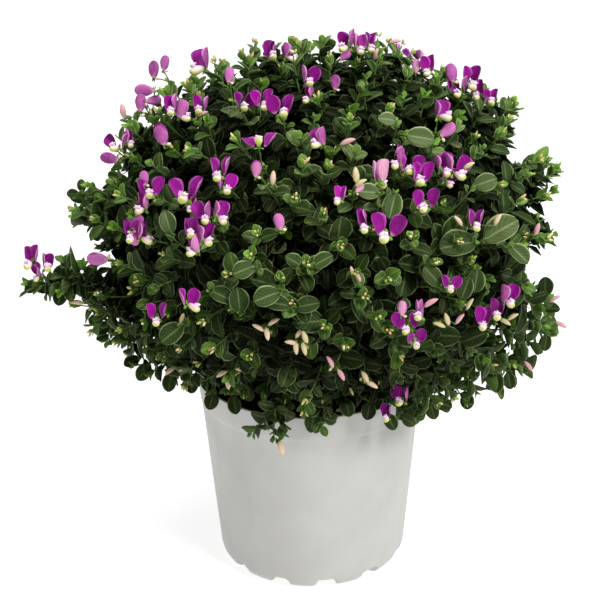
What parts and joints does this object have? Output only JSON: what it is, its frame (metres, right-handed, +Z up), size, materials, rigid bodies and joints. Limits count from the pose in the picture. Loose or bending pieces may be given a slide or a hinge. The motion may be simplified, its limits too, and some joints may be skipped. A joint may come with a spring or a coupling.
{
  "type": "potted milkwort",
  "caption": "Round flowering milkwort bush with magenta butterfly-shaped blooms, standing in a tapered white nursery pot over a black inner pot.",
  "frame": {"origin": "centre of the pot's flat underside", "axes": "+Z up; -Y is the side that the bush is seen from, and +X is to the right from there"},
  "size_m": [0.4218, 0.3588, 0.4107],
  "materials": {
    "white_plastic": "semi-matte moulded white plastic with faint clouding",
    "black_plastic": "satin black thin moulded plastic",
    "potting_soil": "moist bark and peat mix, matte and crumbly",
    "bark": "grey-brown woody stem with fine fissures",
    "leaf": "slightly waxy dark green leaves, bright green at the shoot tips",
    "petal": "soft satin magenta petals with a cream keel"
  },
  "bodies": {
    "root": {"pot": "white_plastic", "inner_pot": "black_plastic", "soil": "potting_soil", "trunk": "bark", "bough_01": "leaf", "bough_02": "leaf", "bough_03": "leaf", "bough_04": "leaf", "bough_05": "leaf", "bough_06": "leaf", "bough_07": "leaf", "bough_08": "leaf", "bough_09": "leaf", "bough_10": "leaf", "bloom_01": "petal", "bloom_02": "petal", "bloom_03": "petal", "bloom_04": "petal", "bloom_05": "petal", "bloom_06": "petal", "bloom_07": "petal", "bloom_08": "petal", "bloom_09": "petal", "bloom_10": "petal", "bloom_11": "petal", "bloom_12": "petal", "bloom_13": "petal", "bloom_14": "petal", "bloom_15": "petal", "bloom_16": "petal", "bloom_17": "petal", "bloom_18": "petal", "bloom_19": "petal", "bloom_20": "petal", "bloom_21": "petal", "bloom_22": "petal", "bloom_23": "petal", "bloom_24": "petal", "bloom_25": "petal", "bloom_26": "petal", "bloom_27": "petal", "bloom_28": "petal", "bloom_29": "petal", "bloom_30": "petal", "bloom_31": "petal", "bloom_32": "petal", "bloom_33": "petal", "bloom_34": "petal", "bloom_35": "petal", "bloom_36": "petal", "bloom_37": "petal", "bloom_38": "petal", "bloom_39": "petal", "bloom_40": "petal", "bloom_41": "petal", "bloom_42": "petal", "bloom_43": "petal", "bloom_44": "petal", "bloom_45": "petal"}
  },
  "joints": []
}
